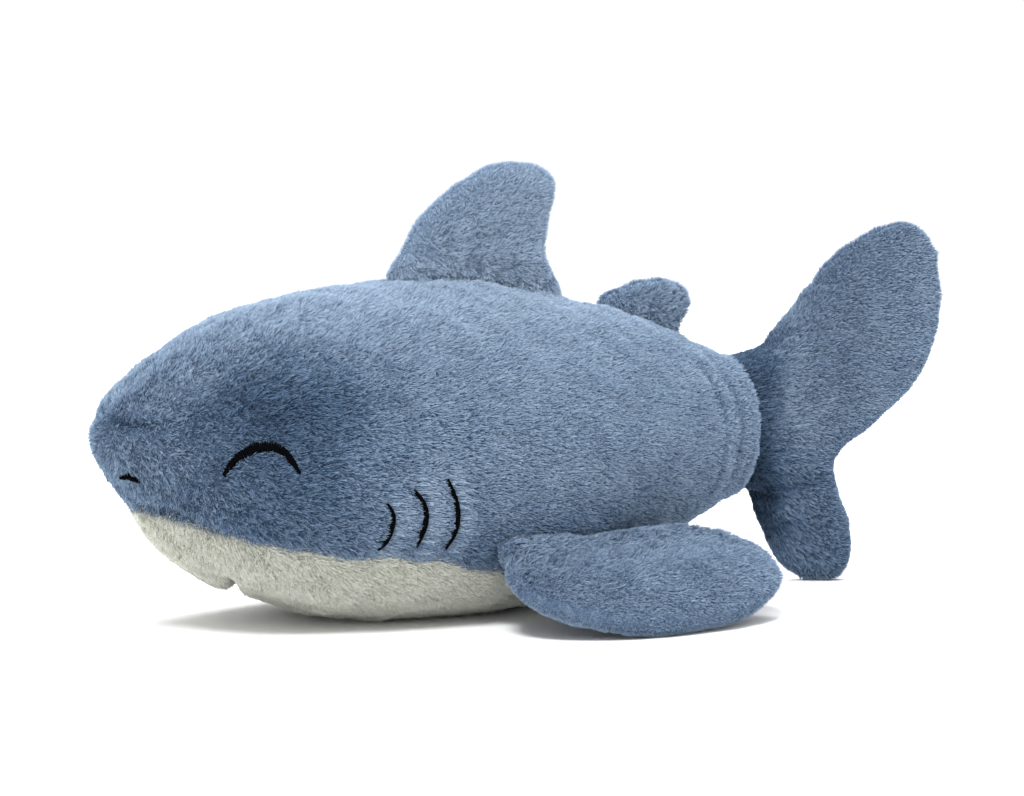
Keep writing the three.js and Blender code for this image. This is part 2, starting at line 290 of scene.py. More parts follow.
def ramp(tree, factor, stops):
    n = tree.nodes.new("ShaderNodeValToRGB")
    e = n.color_ramp.elements
    while len(e) < len(stops):
        e.new(0.5)
    for slot, (pos, colour) in zip(e, stops):
        slot.position, slot.color = pos, (*colour, 1)
    link(tree, factor, n.inputs[0])
    return n.outputs[0]


def strand_material(name, stops):
    """Pile strands: darker at the root as painted shade, lighter at the tip, each a little
    different, with the cover's painted light and shade.
    """
    m, t, shader = new_material(name)
    info = t.nodes.new("ShaderNodeHairInfo")
    # painted light and shade stored on the cover
    shade = named(t, "ShaderNodeAttribute", attribute_name="shade")
    place = t.nodes.new("ShaderNodeTexCoord")
    blotch = named(t, "ShaderNodeTexNoise", Scale=55.0, Detail=2.0)
    tuft = named(t, "ShaderNodeTexNoise", Scale=700.0, Detail=1.0)
    for n in (blotch, tuft):
        link(t, place.outputs["Object"], n.inputs["Vector"])
    # darker towards the root: painted shade among the strands
    f = math_node(t, "MULTIPLY_ADD", info.outputs["Intercept"], 0.50, -0.17)
    f = math_node(t, "ADD", f, math_node(t, "MULTIPLY", info.outputs["Random"], 0.24))
    f = math_node(t, "ADD", f, math_node(t, "MULTIPLY", tuft.outputs["Fac"], 0.50))
    f = math_node(t, "ADD", f, math_node(t, "MULTIPLY", blotch.outputs["Fac"], 0.22))
    f = math_node(t, "ADD", f, shade.outputs["Fac"], clamp=True)
    link(t, ramp(t, f, stops), shader.inputs["Base Color"])
    shader.inputs["Roughness"].default_value = 0.75
    shader.inputs["Specular IOR Level"].default_value = 0.25
    return m


def backing_material(name, stops, fleck):
    """Short pile seen from afar: streaks and tufts in colour and relief, with a soft sheen."""
    m, t, shader = new_material(name)
    place = t.nodes.new("ShaderNodeTexCoord")
    stretch = t.nodes.new("ShaderNodeMapping")
    stretch.inputs["Scale"].default_value = (0.45, 1, 1)
    link(t, place.outputs["Object"], stretch.inputs["Vector"])
    tuft = named(t, "ShaderNodeTexNoise", Scale=420.0, Detail=3.0, Roughness=0.6)
    fibre = named(t, "ShaderNodeTexNoise", Scale=1500.0, Detail=2.0, Roughness=0.7)
    blotch = named(t, "ShaderNodeTexNoise", Scale=60.0, Detail=2.0)
    for n in (tuft, fibre, blotch):
        link(t, stretch.outputs["Vector"], n.inputs["Vector"])
    # painted light and shade stored on the cover
    shade = named(t, "ShaderNodeAttribute", attribute_name="shade")
    f = math_node(t, "MULTIPLY", tuft.outputs["Fac"], 0.55)
    f = math_node(t, "ADD", f, math_node(t, "MULTIPLY", fibre.outputs["Fac"], fleck))
    f = math_node(t, "ADD", f, math_node(t, "MULTIPLY", blotch.outputs["Fac"], 0.2))
    f = math_node(t, "ADD", f, shade.outputs["Fac"], clamp=True)
    link(t, ramp(t, f, stops), shader.inputs["Base Color"])
    fine = math_node(t, "MULTIPLY", fibre.outputs["Fac"], 0.5)
    relief = math_node(t, "ADD", tuft.outputs["Fac"], fine)
    bump_node = named(t, "ShaderNodeBump", Strength=0.9, Distance=0.0015)
    link(t, relief, bump_node.inputs["Height"])
    link(t, bump_node.outputs["Normal"], shader.inputs["Normal"])
    shader.inputs["Roughness"].default_value = 0.95
    shader.inputs["Specular IOR Level"].default_value = 0.15
    shader.inputs["Sheen Weight"].default_value = 0.3
    shader.inputs["Sheen Roughness"].default_value = 0.5
    return m


def thread_material():
    m, t, shader = new_material("embroidery_thread")
    place = t.nodes.new("ShaderNodeTexCoord")
    twist = named(t, "ShaderNodeTexNoise", Scale=2600.0, Detail=1.0)
    link(t, place.outputs["Object"], twist.inputs["Vector"])
    link(t, ramp(t, twist.outputs["Fac"], THREAD_BLACK), shader.inputs["Base Color"])
    bump_node = named(t, "ShaderNodeBump", Strength=0.5, Distance=0.0002)
    link(t, twist.outputs["Fac"], bump_node.inputs["Height"])
    link(t, bump_node.outputs["Normal"], shader.inputs["Normal"])
    shader.inputs["Roughness"].default_value = 0.7
    shader.inputs["IOR"].default_value = 1.2
    shader.inputs["Specular IOR Level"].default_value = 0.02
    return m


def fibrefill_material():
    m, t, shader = new_material("fibrefill")
    place = t.nodes.new("ShaderNodeTexCoord")
    wisp = named(t, "ShaderNodeTexNoise", Scale=240.0, Detail=5.0, Roughness=0.7, Distortion=1.5)
    link(t, place.outputs["Object"], wisp.inputs["Vector"])
    link(t, ramp(t, wisp.outputs["Fac"], FILL_WHITE), shader.inputs["Base Color"])
    bump_node = named(t, "ShaderNodeBump", Strength=0.8, Distance=0.002)
    link(t, wisp.outputs["Fac"], bump_node.inputs["Height"])
    link(t, bump_node.outputs["Normal"], shader.inputs["Normal"])
    shader.inputs["Roughness"].default_value = 1.0
    shader.inputs["Sheen Weight"].default_value = 0.4
    return m


BLUE = [(0.0, (0.012, 0.026, 0.055)), (0.45, (0.087, 0.152, 0.254)), (1.0, (0.385, 0.490, 0.620))]
CREAM = [(0.0, (0.26, 0.26, 0.21)), (0.45, (0.52, 0.53, 0.46)), (1.0, (0.80, 0.81, 0.75))]
THREAD_BLACK = [(0.3, (0.001, 0.001, 0.0012)), (0.8, (0.004, 0.004, 0.005))]
FILL_WHITE = [(0.3, (0.62, 0.61, 0.58)), (0.7, (0.86, 0.85, 0.82))]
LOOKS = {
    "plush_blue": (backing_material("plush_blue_backing", BLUE, 0.35),
                   strand_material("plush_blue_pile", BLUE)),
    "plush_cream": (backing_material("plush_cream_backing", CREAM, 0.3),
                    strand_material("plush_cream_pile", CREAM)),
}
THREAD = thread_material()
FIBREFILL = fibrefill_material()


# ---- pile ----
def vector_node(tree, op, a, b=None, scale=None):
    n = tree.nodes.new("ShaderNodeVectorMath")
    n.operation = op
    for i, x in enumerate((a, b)):
        if x is None:
            continue
        if isinstance(x, tuple):
            n.inputs[i].default_value = x
        else:
            link(tree, x, n.inputs[i])
    if scale is not None:
        if isinstance(scale, (int, float)):
            n.inputs["Scale"].default_value = scale
        else:
            link(tree, scale, n.inputs["Scale"])
    return n.outputs["Value"] if op == "DOT_PRODUCT" else n.outputs["Vector"]


def attribute(tree, name, kind):
    n = tree.nodes.new("GeometryNodeInputNamedAttribute")
    n.data_type = kind
    n.inputs["Name"].default_value = name
    return n.outputs["Attribute"]


def store(tree, points, name, value):
    """Stores a vector on each point under a name."""
    n = tree.nodes.new("GeometryNodeStoreNamedAttribute")
    n.data_type = "FLOAT_VECTOR"
    n.inputs["Name"].default_value = name
    link(tree, points, n.inputs["Geometry"])
    link(tree, value, n.inputs["Value"])
    return n.outputs[0]


def strand_roots(tree, skin, density, seed):
    """Points strewn over the outside of a skin, each with its normal, its place and a dice throw."""
    ground = tree.nodes.new("GeometryNodeObjectInfo")
    ground.transform_space = "RELATIVE"
    ground.inputs["Object"].default_value = skin
    scatter = tree.nodes.new("GeometryNodeDistributePointsOnFaces")
    scatter.distribute_method = "RANDOM"
    scatter.inputs["Seed"].default_value = seed
    link(tree, ground.outputs["Geometry"], scatter.inputs["Mesh"])
    many = math_node(tree, "MULTIPLY", attribute(tree, "pile_cover", "FLOAT"), density)
    link(tree, many, scatter.inputs["Density"])
    dice = tree.nodes.new("FunctionNodeRandomValue")
    dice.data_type = "FLOAT_VECTOR"
    dice.inputs[0].default_value = (-1, -1, -1)
    dice.inputs[1].default_value = (1, 1, 1)
    dice.inputs["Seed"].default_value = seed + 7
    here = tree.nodes.new("GeometryNodeInputPosition").outputs[0]
    points = store(tree, scatter.outputs["Points"], "up", scatter.outputs["Normal"])
    points = store(tree, points, "root", here)
    return store(tree, points, "own", dice.outputs[0])


def strand_curves(tree, points):
    """A short curve at each point, still straight."""
    line = tree.nodes.new("GeometryNodeCurvePrimitiveLine")
    cut = tree.nodes.new("GeometryNodeResampleCurve")
    cut.inputs["Count"].default_value = STRAND_POINTS
    link(tree, line.outputs[0], cut.inputs["Curve"])
    place = tree.nodes.new("GeometryNodeInstanceOnPoints")
    link(tree, points, place.inputs["Points"])
    link(tree, cut.outputs[0], place.inputs["Instance"])
    real = tree.nodes.new("GeometryNodeRealizeInstances")
    link(tree, place.outputs[0], real.inputs[0])
    return real.outputs[0]


def along_skin(tree, way, up):
    """The part of a way that lies along the skin."""
    off = vector_node(tree, "SCALE", up, scale=vector_node(tree, "DOT_PRODUCT", way, up))
    return vector_node(tree, "SUBTRACT", way, off)


def swirl(tree, where, scale, amount):
    """A push to one side that changes slowly from place to place and gathers strands in tufts."""
    n = tree.nodes.new("ShaderNodeTexNoise")
    n.inputs["Scale"].default_value = scale
    n.inputs["Detail"].default_value = 1.0
    link(tree, where, n.inputs["Vector"])
    v = vector_node(tree, "SUBTRACT", n.outputs["Color"], (0.5, 0.5, 0.5))
    return vector_node(tree, "SCALE", v, scale=amount)


def strand_way(tree, where, up, own):
    """The way along the skin to which a strand leans: its nap, its tuft and its own whim."""
    wild = attribute(tree, "pile_wild", "FLOAT")
    way = along_skin(tree, attribute(tree, "nap", "FLOAT_VECTOR"), up)
    for scale, amount in ((420.0, 2.2), (110.0, 1.0)):
        push = vector_node(tree, "SCALE", swirl(tree, where, scale, amount), scale=wild)
        way = vector_node(tree, "ADD", way, push)
    way = vector_node(tree, "ADD", way, vector_node(tree, "SCALE", own, scale=OWN_WHIM))
    return along_skin(tree, way, up)


def pile_nodes(name, skin, material, density, seed):
    """Grows combed, slightly tufted strands on a skin, along its nap."""
    g = bpy.data.node_groups.new(name, "GeometryNodeTree")
    g.interface.new_socket("Geometry", in_out="INPUT", socket_type="NodeSocketGeometry")
    g.interface.new_socket("Geometry", in_out="OUTPUT", socket_type="NodeSocketGeometry")
    end = g.nodes.new("NodeGroupOutput")
    curves = strand_curves(g, strand_roots(g, skin, density, seed))

    t = g.nodes.new("GeometryNodeSplineParameter").outputs["Factor"]
    up = vector_node(g, "NORMALIZE", attribute(g, "up", "FLOAT_VECTOR"))
    where = attribute(g, "root", "FLOAT_VECTOR")
    own = attribute(g, "own", "FLOAT_VECTOR")
    way = strand_way(g, where, up, own)
    # along a strand of length 1: rise = t (1 - 0.28 t) and lean = t (0.20 + 0.32 t)
    slow = math_node(g, "SUBTRACT", 1.0, math_node(g, "MULTIPLY", t, 0.28))
    rise = math_node(g, "MULTIPLY", t, slow)
    tip = math_node(g, "ADD", 0.20, math_node(g, "MULTIPLY", t, 0.32))
    lean = math_node(g, "MULTIPLY", t, tip)
    path = vector_node(g, "ADD", vector_node(g, "SCALE", up, scale=rise),
                       vector_node(g, "SCALE", way, scale=lean))

    vary = g.nodes.new("ShaderNodeSeparateXYZ")
    link(g, own, vary.inputs[0])
    size = math_node(g, "ADD", 0.85, math_node(g, "MULTIPLY", vary.outputs[0], 0.25))
    size = math_node(g, "MULTIPLY", size, attribute(g, "pile_length", "FLOAT"))
    shape = g.nodes.new("GeometryNodeSetPosition")
    link(g, curves, shape.inputs["Geometry"])
    spot = vector_node(g, "ADD", where, vector_node(g, "SCALE", path, scale=size))
    link(g, spot, shape.inputs["Position"])

    taper = math_node(g, "SUBTRACT", 1.0, math_node(g, "MULTIPLY", t, 0.55))
    thick = g.nodes.new("GeometryNodeSetCurveRadius")
    link(g, shape.outputs[0], thick.inputs["Curve"])
    link(g, math_node(g, "MULTIPLY", taper, STRAND_RADIUS), thick.inputs["Radius"])
    paint = g.nodes.new("GeometryNodeSetMaterial")
    paint.inputs["Material"].default_value = material
    link(g, thick.outputs[0], paint.inputs["Geometry"])
    link(g, paint.outputs[0], end.inputs[0])
    return g


def put(mesh, name, kind, values):
    a = mesh.attributes.get(name) or mesh.attributes.new(name, kind, "POINT")
    field = "vector" if kind == "FLOAT_VECTOR" else "value"
    a.data.foreach_set(field, np.ascontiguousarray(values, np.float32).ravel())


def grow_pile(o, look, seed):
    """Gives a cover its backing material and the pile that rides on it."""
    o.data.materials.clear()
    backing, strands = LOOKS[look]
    o.data.materials.append(backing)
    pile = bpy.data.objects.new(f"{o.name}_pile", bpy.data.hair_curves.new(f"{o.name}_pile"))
    bpy.context.scene.collection.objects.link(pile)
    pile.parent = o
    m = pile.modifiers.new("pile", "NODES")
    m.node_group = pile_nodes(pile.name, o, strands, STRANDS_PER_M2, seed)


# ---- covers ----
def cut_sheet(mesh, name, cuts):
    """The part of a closed skin on the far side of each cut: (line to follow, point, normal)."""
    bm = bmesh.new()
    bm.from_mesh(mesh)
    for follow, point, normal in cuts:
        if follow:
            for v in bm.verts:
                v.co.z -= follow(v.co.x)
        bmesh.ops.bisect_plane(bm, geom=bm.verts[:] + bm.edges[:] + bm.faces[:], dist=1e-5,
                               plane_co=point, plane_no=normal, clear_inner=True)
        if follow:
            for v in bm.verts:
                v.co.z += follow(v.co.x)
    bmesh.ops.remove_doubles(bm, verts=bm.verts[:], dist=0.00025)
    out = bpy.data.meshes.new(name)
    bm.to_mesh(out)
    bm.free()
    return new_object(name, out)


def back_with_cloth(o):
    """Gives a sheet its thickness; the pile side stays where it is."""
    n = len(o.data.vertices)
    put(o.data, "pile_cover", "FLOAT", np.ones(n))
    s = o.modifiers.new("thick", "SOLIDIFY")
    s.thickness, s.offset, s.use_even_offset = BACKING, -1, False
    bake_modifiers(o)
    cover = np.zeros(len(o.data.vertices))
    cover[:n] = 1
    put(o.data, "pile_cover", "FLOAT", cover)
    smooth_faces(o.data)


def cover_values(o, nap, length, shade, wild):
    """Stores which way the pile lies, how long, its painted light and shade, and how ruffled it is.
    """
    put(o.data, "nap", "FLOAT_VECTOR", nap)
    put(o.data, "pile_length", "FLOAT", length)
    put(o.data, "shade", "FLOAT", shade)
    put(o.data, "pile_wild", "FLOAT", wild)


def finish_cover(o, look, seed, node, settle):
    """Hides the CAD node the cover stands in for, settles the cover, then grows its pile."""
    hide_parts(node)
    settle(o)
    grow_pile(o, look, seed)


# ---- places taken from the frame ----
JOINTS = {j["child"]: j for j in frame["joints"]}
BLUE_LOW = node_mesh(["body_panel_left"])
SEAM_X = np.linspace(behind(0.004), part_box("body_panel_left")[1][0] - 0.004, 30)


def seam_heights():
    """Height of the seam between the blue and the cream fabric, along the body."""
    co = coords(BLUE_LOW)
    step = SEAM_X[1] - SEAM_X[0]
    return [co[np.abs(co[:, 0] - x) < step, 2].min() for x in SEAM_X]


SEAM_Z = seam_heights()


def seam(x):
    """Height of the seam as the photo shows it, with the slight waviness of sewn pile fabric."""
    wave = 0.0004 * np.sin(x * 230) + 0.0002 * np.sin(x * 540 + 1)
    overhang = 0.0018 + 0.0026 * (1 - ease(x, behind(0.01), behind(0.06)))
    sag = 0.0021 * bump(x - behind(0.136), 0.022) - 0.0019 * bump(x - behind(0.090), 0.017)
    return np.interp(x, SEAM_X, SEAM_Z) + overhang + wave + sag


Root = namedtuple("Root", "at axis out face")


def root_of(fin):
    """Hinge point of a fin, its hinge axis, the way out along it and the normal of its face."""
    j = JOINTS[fin]
    p, axis = np.array(j["pos_m"], float), np.array(j["axis"], float)
    axis /= np.linalg.norm(axis)
    mesh = node_mesh([f"{fin}_stuffing"])
    out = coords(mesh).mean(0) - p
    bpy.data.meshes.remove(mesh)
    out -= axis * (out @ axis)
    out /= np.linalg.norm(out)
    return Root(p, axis, out, np.cross(axis, out))


def from_root(co, root):
    """Places measured from a fin's hinge: out along the fin, along the hinge, off the face."""
    way = co - root.at
    return way @ root.out, way @ root.axis, way @ root.face


FINS = {"dorsal_fin": ("left", "right"), "second_dorsal_fin": ("left", "right"),
        "tail_fin": ("left", "right"), "pectoral_fin_left": ("upper", "lower"),
        "pectoral_fin_right": ("upper", "lower")}
UPRIGHT_FINS = ("dorsal_fin", "second_dorsal_fin")
PECTORAL_FINS = ("pectoral_fin_left", "pectoral_fin_right")
UNDER_SEAM = 0.003       # the part of a fin's panels below this depth is sewn into the body


def root_line(fin):
    """The two ends of the line along which a fin is sewn to the body."""
    root = root_of(fin)
    mesh = node_mesh([f"{fin}_panel_{s}" for s in FINS[fin]])
    out, along, _ = from_root(coords(mesh), root)
    bpy.data.meshes.remove(mesh)
    under = along[out < -UNDER_SEAM]
    return np.array([root.at + root.axis * under.min(), root.at + root.axis * under.max()])


ROOT_LINES = {fin: root_line(fin) for fin in FINS}


def root_near(co, fin):
    """Distance to a fin's root line."""
    return line_distance(co, ROOT_LINES[fin])


def sink(o, depth):
    """Moves a skin in along its normals, by a depth for each point."""
    set_coords(o.data, coords(o.data) - normals(o.data) * depth[:, None])


def floor_length(o):
    """Full length of the pile, or less where it points down and would reach the floor."""
    z, down = coords(o.data)[:, 2], np.maximum(-normals(o.data)[:, 2], 0)
    return np.clip((z - FLOOR_GAP) / (0.6 * down + 0.2), FLOOR_PILE, PILE)


def lumps(o, sizes):
    """Uneven stuffing and ruffled pile: (height, width) of each kind of lump."""
    co = coords(o.data)
    rise = sum(h * noise(co, w, 11 + i) for i, (h, w) in enumerate(sizes))
    set_coords(o.data, co + normals(o.data) * rise[:, None])


# ---- embroidery lines ----
THREAD_NODES = ["eye", "gill_1", "gill_2", "gill_3", "nostril"]


def smooth_path(points, count):
    """Evenly spaced points on a smooth curve through a few."""
    for _ in range(2):
        run = np.concatenate([[0], np.cumsum(np.linalg.norm(np.diff(points, axis=0), axis=1))])
        at = np.linspace(0, run[-1], count)
        points = np.stack([np.interp(at, run, points[:, k]) for k in range(3)], 1)
        for _ in range(count // 8):
            points[1:-1] = (points[:-2] + 2 * points[1:-1] + points[2:]) / 4
    return points


LINES = {f"{n}_{side}": smooth_path(middle_line(f"{n}_{side}"), 40)
         for n in THREAD_NODES for side in ("left", "right")}


# ---- body ----
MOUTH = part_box("chin_panel")[1][0]
MOUTH_SLANT = 0.65       # how far the tuck of the mouth runs back for each metre to the right
MOUTH_SHIFT = 0.0028     # how far it lies in front of the seam of chin and belly
MOUTH_DEPTH, MOUTH_WIDTH = 0.0044, 0.0026
LIP_RISE, LIP_WIDTH, LIP_AHEAD = 0.0006, 0.004, 0.008
BODY_SKIN = (0.0051, 5)  # size of the faces of the skin before it is refined, rounds of smoothing
BODY_SWELL = 0.003       # how far the stuffing may push the skin out between its seams
SEAM_DEPTH, BACK_DEPTH, FOLD_WIDTH = 0.0016, 0.0008, 0.0022
STITCH_DEPTHS = {"eye": (0.0012, 0.006), "other": (0.0009, 0.0035)}
WRINKLES = [behind(d) for d in (0.299, 0.3095)]
WRINKLE_BOW, WRINKLE_LEVEL = 8.0, 0.079
WRINKLE_RISE, WRINKLE_WIDTH = 0.0014, 0.0014
DART_LEVEL, DART_DEPTH = 0.0925, 0.0018
CHIN_BACK = 0.0045       # how far the chin falls back under the nose
MOUNDS = {"dorsal_fin": (0.0030, 0.0115), "second_dorsal_fin": (0.0012, 0.008)}
BESIDE_FIN = 0.012       # width of the pile that stands up beside the upright fins
GILL_COMB = 0.0036       # width of the tufts combed back from the gills
STITCH_PILE = 0.0009     # length of the pile beside the embroidery
STEM_END = behind(0.339)
STEM_TUCK = 0.0145       # how far the rim of the tail stem is drawn in by its seam


def body_depth(co):
    """How far the backing lies under the CAD skin; less where a fin is sewn on."""
    depth = np.full(len(co), PILE_SINK)
    for fin in FINS:
        reach = 0.030 if fin == "tail_fin" else 0.022
        depth *= 0.15 + 0.85 * ease(root_near(co, fin), reach - 0.012, reach)
    return depth


def body_pins(co, n):
    """1 where a seam, the floor or the end of the tail stem holds the skin, 0 where it is free."""
    at_seam = bump(co[:, 2] - seam(co[:, 0]), 0.004) * (n[:, 2] < 0.6)
    at_back = bump(co[:, 1], 0.004) * (n[:, 2] > 0.5) * 0.7
    at_mouth = bump(co[:, 0] - MOUTH, 0.005) * (co[:, 2] < seam(co[:, 0]))
    resting = (n[:, 2] < -0.8) & (co[:, 2] < 0.008)
    rear = ease(co[:, 0], STEM_END - 0.014, STEM_END - 0.001)
    return np.clip(np.maximum.reduce([at_seam, at_back, at_mouth, resting, rear]), 0, 1)


def body_skin():
    """Stuffed skin of the whole body, from its CAD panels, with its folds."""
    o = new_object("body_skin", node_mesh(
        ["body_panel_left", "body_panel_right", "chin_panel", "belly_panel", "body_stuffing"]))
    remesh(o, *BODY_SKIN)
    keep_biggest(o)
    sink(o, body_depth(coords(o.data)))
    inflate(o, body_pins(coords(o.data), normals(o.data)), BODY_SWELL)
    co = coords(o.data)
    co[:, 0] -= STEM_TUCK * ease(co[:, 0], STEM_END - 0.026, STEM_END)
    set_coords(o.data, co)
    subdivide(o)
    body_folds(o)
    subdivide(o)
    lumps(o, [(0.0004, 0.017), (0.0002, 0.006)])
    return o


def stem_bow(co):
    """Distance along the body to the nearest of the crescent wrinkles of the tail stem."""
    x = co[:, 0] + WRINKLE_BOW * (co[:, 2] - WRINKLE_LEVEL) ** 2
    gaps = np.stack([x - w for w in WRINKLES])
    return gaps[np.abs(gaps).argmin(0), np.arange(len(x))]


def stem_side(co, n):
    """1 on the left side of the tail stem, the inside of its bend."""
    return ease(-n[:, 1], 0.0, 0.6) * (1 - ease(np.abs(co[:, 2] - WRINKLE_LEVEL), 0.016, 0.036))


def mouth_way(co):
    """Distance from the slightly slanting line along which the mouth is tucked."""
    return (co[:, 0] - MOUTH + MOUTH_SHIFT - MOUTH_SLANT * co[:, 1]) * 0.84


def mouth_fold(co):
    """1 under the chin where the mouth is tucked, fading out to the sides."""
    y = co[:, 1]
    under = co[:, 2] < seam(co[:, 0]) - 0.002
    return under * ease(y, -0.018, -0.006) * (1 - ease(y, 0.034, 0.046))


def nose_dart(co):
    """Short sewn crease on each side of the nose tip."""
    x = co[:, 0]
    along = ease(x, behind(0.003), behind(0.006)) * (1 - ease(x, behind(0.015), behind(0.027)))
    return bump(co[:, 2] - DART_LEVEL, FOLD_WIDTH) * along * ease(np.abs(co[:, 1]), 0.002, 0.006)


def mounds(co):
    """Height of the cover where it runs up a little beside the roots of the upright fins."""
    rise = np.zeros(len(co))
    for fin, (height, width) in MOUNDS.items():
        way, front = from_line(co, ROOT_LINES[fin]), ROOT_LINES[fin][:, 0].min()
        beside = bump(np.hypot(way[:, 1], way[:, 2]), width) * bump(way[:, 0], 0.005)
        rise += height * beside * ease(co[:, 0], front + 0.001, front + 0.022)
    return rise


def body_folds(o):
    """Draws in the seams, the mouth, the darts and the stitches, and folds the tail stem."""
    co, n = coords(o.data), normals(o.data)
    x, y, z = co.T
    rise = -SEAM_DEPTH * bump(z - seam(x), FOLD_WIDTH) * (n[:, 2] < 0.7)
    rise -= BACK_DEPTH * bump(y, FOLD_WIDTH) * (n[:, 2] > 0.5)
    lip = LIP_RISE * bump(mouth_way(co) + LIP_AHEAD, LIP_WIDTH)
    rise += (lip - MOUTH_DEPTH * bump(mouth_way(co), MOUTH_WIDTH)) * mouth_fold(co)
    rise -= DART_DEPTH * nose_dart(co)
    for name, line in LINES.items():
        depth, width = STITCH_DEPTHS["eye" if name.startswith("eye") else "other"]
        rise -= depth * bump(line_distance(co, line), width)
    crest = 0.5 * bump(stem_bow(co) - 0.0032, 0.0016) - bump(stem_bow(co), WRINKLE_WIDTH)
    rise += WRINKLE_RISE * crest * stem_side(co, n)
    rise -= CHIN_BACK * (1 - ease(x, behind(0.005), behind(0.055))) * bump(z - 0.060, 0.022)
    rise += mounds(co)
    rise += 0.0009 * noise(co, 0.06, 3)
    off_floor = ease(z, 0.003, 0.012)
    set_coords(o.data, co + n * (rise * off_floor)[:, None])


def head_shade(co):
    """Painted shade and light on the head: darker over the eyes and on the low cheeks, darker
    towards the bottom, lighter on the crown where the top light falls.
    """
    x, y, z = co.T
    brow = np.exp(-((x - behind(0.064)) / 0.036) ** 2 - ((z - 0.103) / 0.019) ** 2)
    brow *= ease(np.abs(y), 0.018, 0.042)
    cheek = np.exp(-((x - behind(0.062)) / 0.034) ** 2 - ((z - 0.070) / 0.030) ** 2)
    low = 1 - ease(z, 0.03, 0.075)
    crown = ease(z, 0.116, 0.142)
    # painted shade over the eyes, on the cheeks and low down; painted light on the crown
    return -0.30 * brow - 0.24 * cheek - 0.06 * low + 0.12 * crown


def blue_shade(co, n, painted_tuft_shade):
    """Painted light and shade on the blue pile: shade in the stem wrinkles, the nose darts and
    beside the fin roots, light on the wrinkle crests, the upward faces and the combed tufts.
    """
    groove = bump(stem_bow(co), WRINKLE_WIDTH) * stem_side(co, n)
    ridge_highlight = bump(stem_bow(co) - 0.0034, 0.0012) * stem_side(co, n)
    # painted shade in the wrinkle grooves and nose darts, painted highlight on the wrinkle crests
    shade = head_shade(co) - 0.14 * groove + 0.07 * ridge_highlight + painted_tuft_shade - 0.22 * nose_dart(co)
    # painted light on faces that look up towards the lamps
    shade += 0.06 * ease(n[:, 2], 0.3, 0.8)
    # painted shade beside the fin roots
    for fin in PECTORAL_FINS:
        shade -= 0.14 * bump(root_near(co, fin), 0.017)
    for fin in UPRIGHT_FINS:
        shade -= 0.07 * bump(root_near(co, fin), BESIDE_FIN)
    return shade


def comb_round_stitches(co, nap, length, wild):
    """Parts the pile round the embroidery and combs it back from the gills, with painted light and
    dark streaks on those tufts and a painted highlight under the eye.
    """
    painted_tuft_shade = np.zeros(len(co))
    for key, line in LINES.items():
        way = from_line(co, line)
        near = np.linalg.norm(way, axis=1)
        clear, full = (0.0026, 0.0058) if key.startswith("eye") else (0.0018, 0.0042)
        grown = STITCH_PILE + (PILE - STITCH_PILE) * ease(near, clear, full)
        length = np.minimum(length, grown)
        apart = (1 - ease(near, clear, full + 0.001))[:, None]
        nap = nap * (1 - apart) + 1.3 * apart * way / np.maximum(near, 1e-5)[:, None]
        if key.startswith("gill"):
            trail = (way[:, 0] > 0) * (1 - ease(near, 0.005, 0.012))
            streak = np.sin(co[:, 2] / GILL_COMB * 2 * np.pi + 2 * noise(co, 0.012, 9))
            # painted light and dark streaks on the tufts behind the gills
            painted_tuft_shade = np.maximum(painted_tuft_shade, 0) * (1 - trail) + trail * (0.06 + 0.22 * streak)
            nap = nap * (1 + 0.9 * trail[:, None])
            wild = wild * (1 - 0.75 * trail)
        elif key.startswith("eye"):
            # painted highlight on the ridge of pile under the eye
            painted_tuft_shade += 0.15 * (way[:, 2] < 0) * bump(near - 0.0040, 0.0014)
    return nap, length, wild, painted_tuft_shade


def body_cover(mesh, name, look, cuts, seed):
    """One cover of the body, cut out of the skin, with its pile."""
    o = cut_sheet(mesh, f"{name}_cover", cuts)
    back_with_cloth(o)
    co, n = coords(o.data), normals(o.data)
    blue = look == "plush_blue"
    nap = np.tile([1.0, 0.0, -0.12 if blue else -0.05], (len(co), 1))
    wild = 1.5 - 0.5 * ease(co[:, 0], behind(0.07), behind(0.13))
    nap, length, wild, painted_tuft_shade = comb_round_stitches(co, nap, floor_length(o), wild)
    groove = bump(stem_bow(co), WRINKLE_WIDTH) * stem_side(co, n)
    tuck = bump(mouth_way(co), 0.0034) * mouth_fold(co)
    length = length * (1 - 0.25 * groove) * (1 - 0.65 * tuck)
    # painted light and shade on the blue pile; painted shade in the mouth tuck on the cream pile
    shade = blue_shade(co, n, painted_tuft_shade) if blue else -0.30 * tuck
    if blue:
        for fin in UPRIGHT_FINS:
            nap[:, 2] += bump(root_near(co, fin), BESIDE_FIN)
    cover_values(o, nap, length, shade, wild)
    finish_cover(o, look, seed, name, lambda piece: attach(piece, "torso"))


def build_body():
    """The four covers of the body and its stuffing; gives back the skin for the embroidery."""
    skin = body_skin()
    blue, cream = (seam, (0, 0, 0), (0, 0, 1)), (seam, (0, 0, 0), (0, 0, -1))
    left, right = (None, (0, 0, 0), (0, -1, 0)), (None, (0, 0, 0), (0, 1, 0))
    ahead, after = (None, (MOUTH, 0, 0), (-1, 0, 0)), (None, (MOUTH, 0, 0), (1, 0, 0))
    body_cover(skin.data, "body_panel_left", "plush_blue", [blue, left], 1)
    body_cover(skin.data, "body_panel_right", "plush_blue", [blue, right], 2)
    body_cover(skin.data, "chin_panel", "plush_cream", [cream, ahead], 3)
    body_cover(skin.data, "belly_panel", "plush_cream", [cream, after], 4)
    stuffing("body_stuffing", skin, lambda piece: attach(piece, "torso"))
    tree = skin_tree(skin.data)
    bpy.data.objects.remove(skin)
    return tree


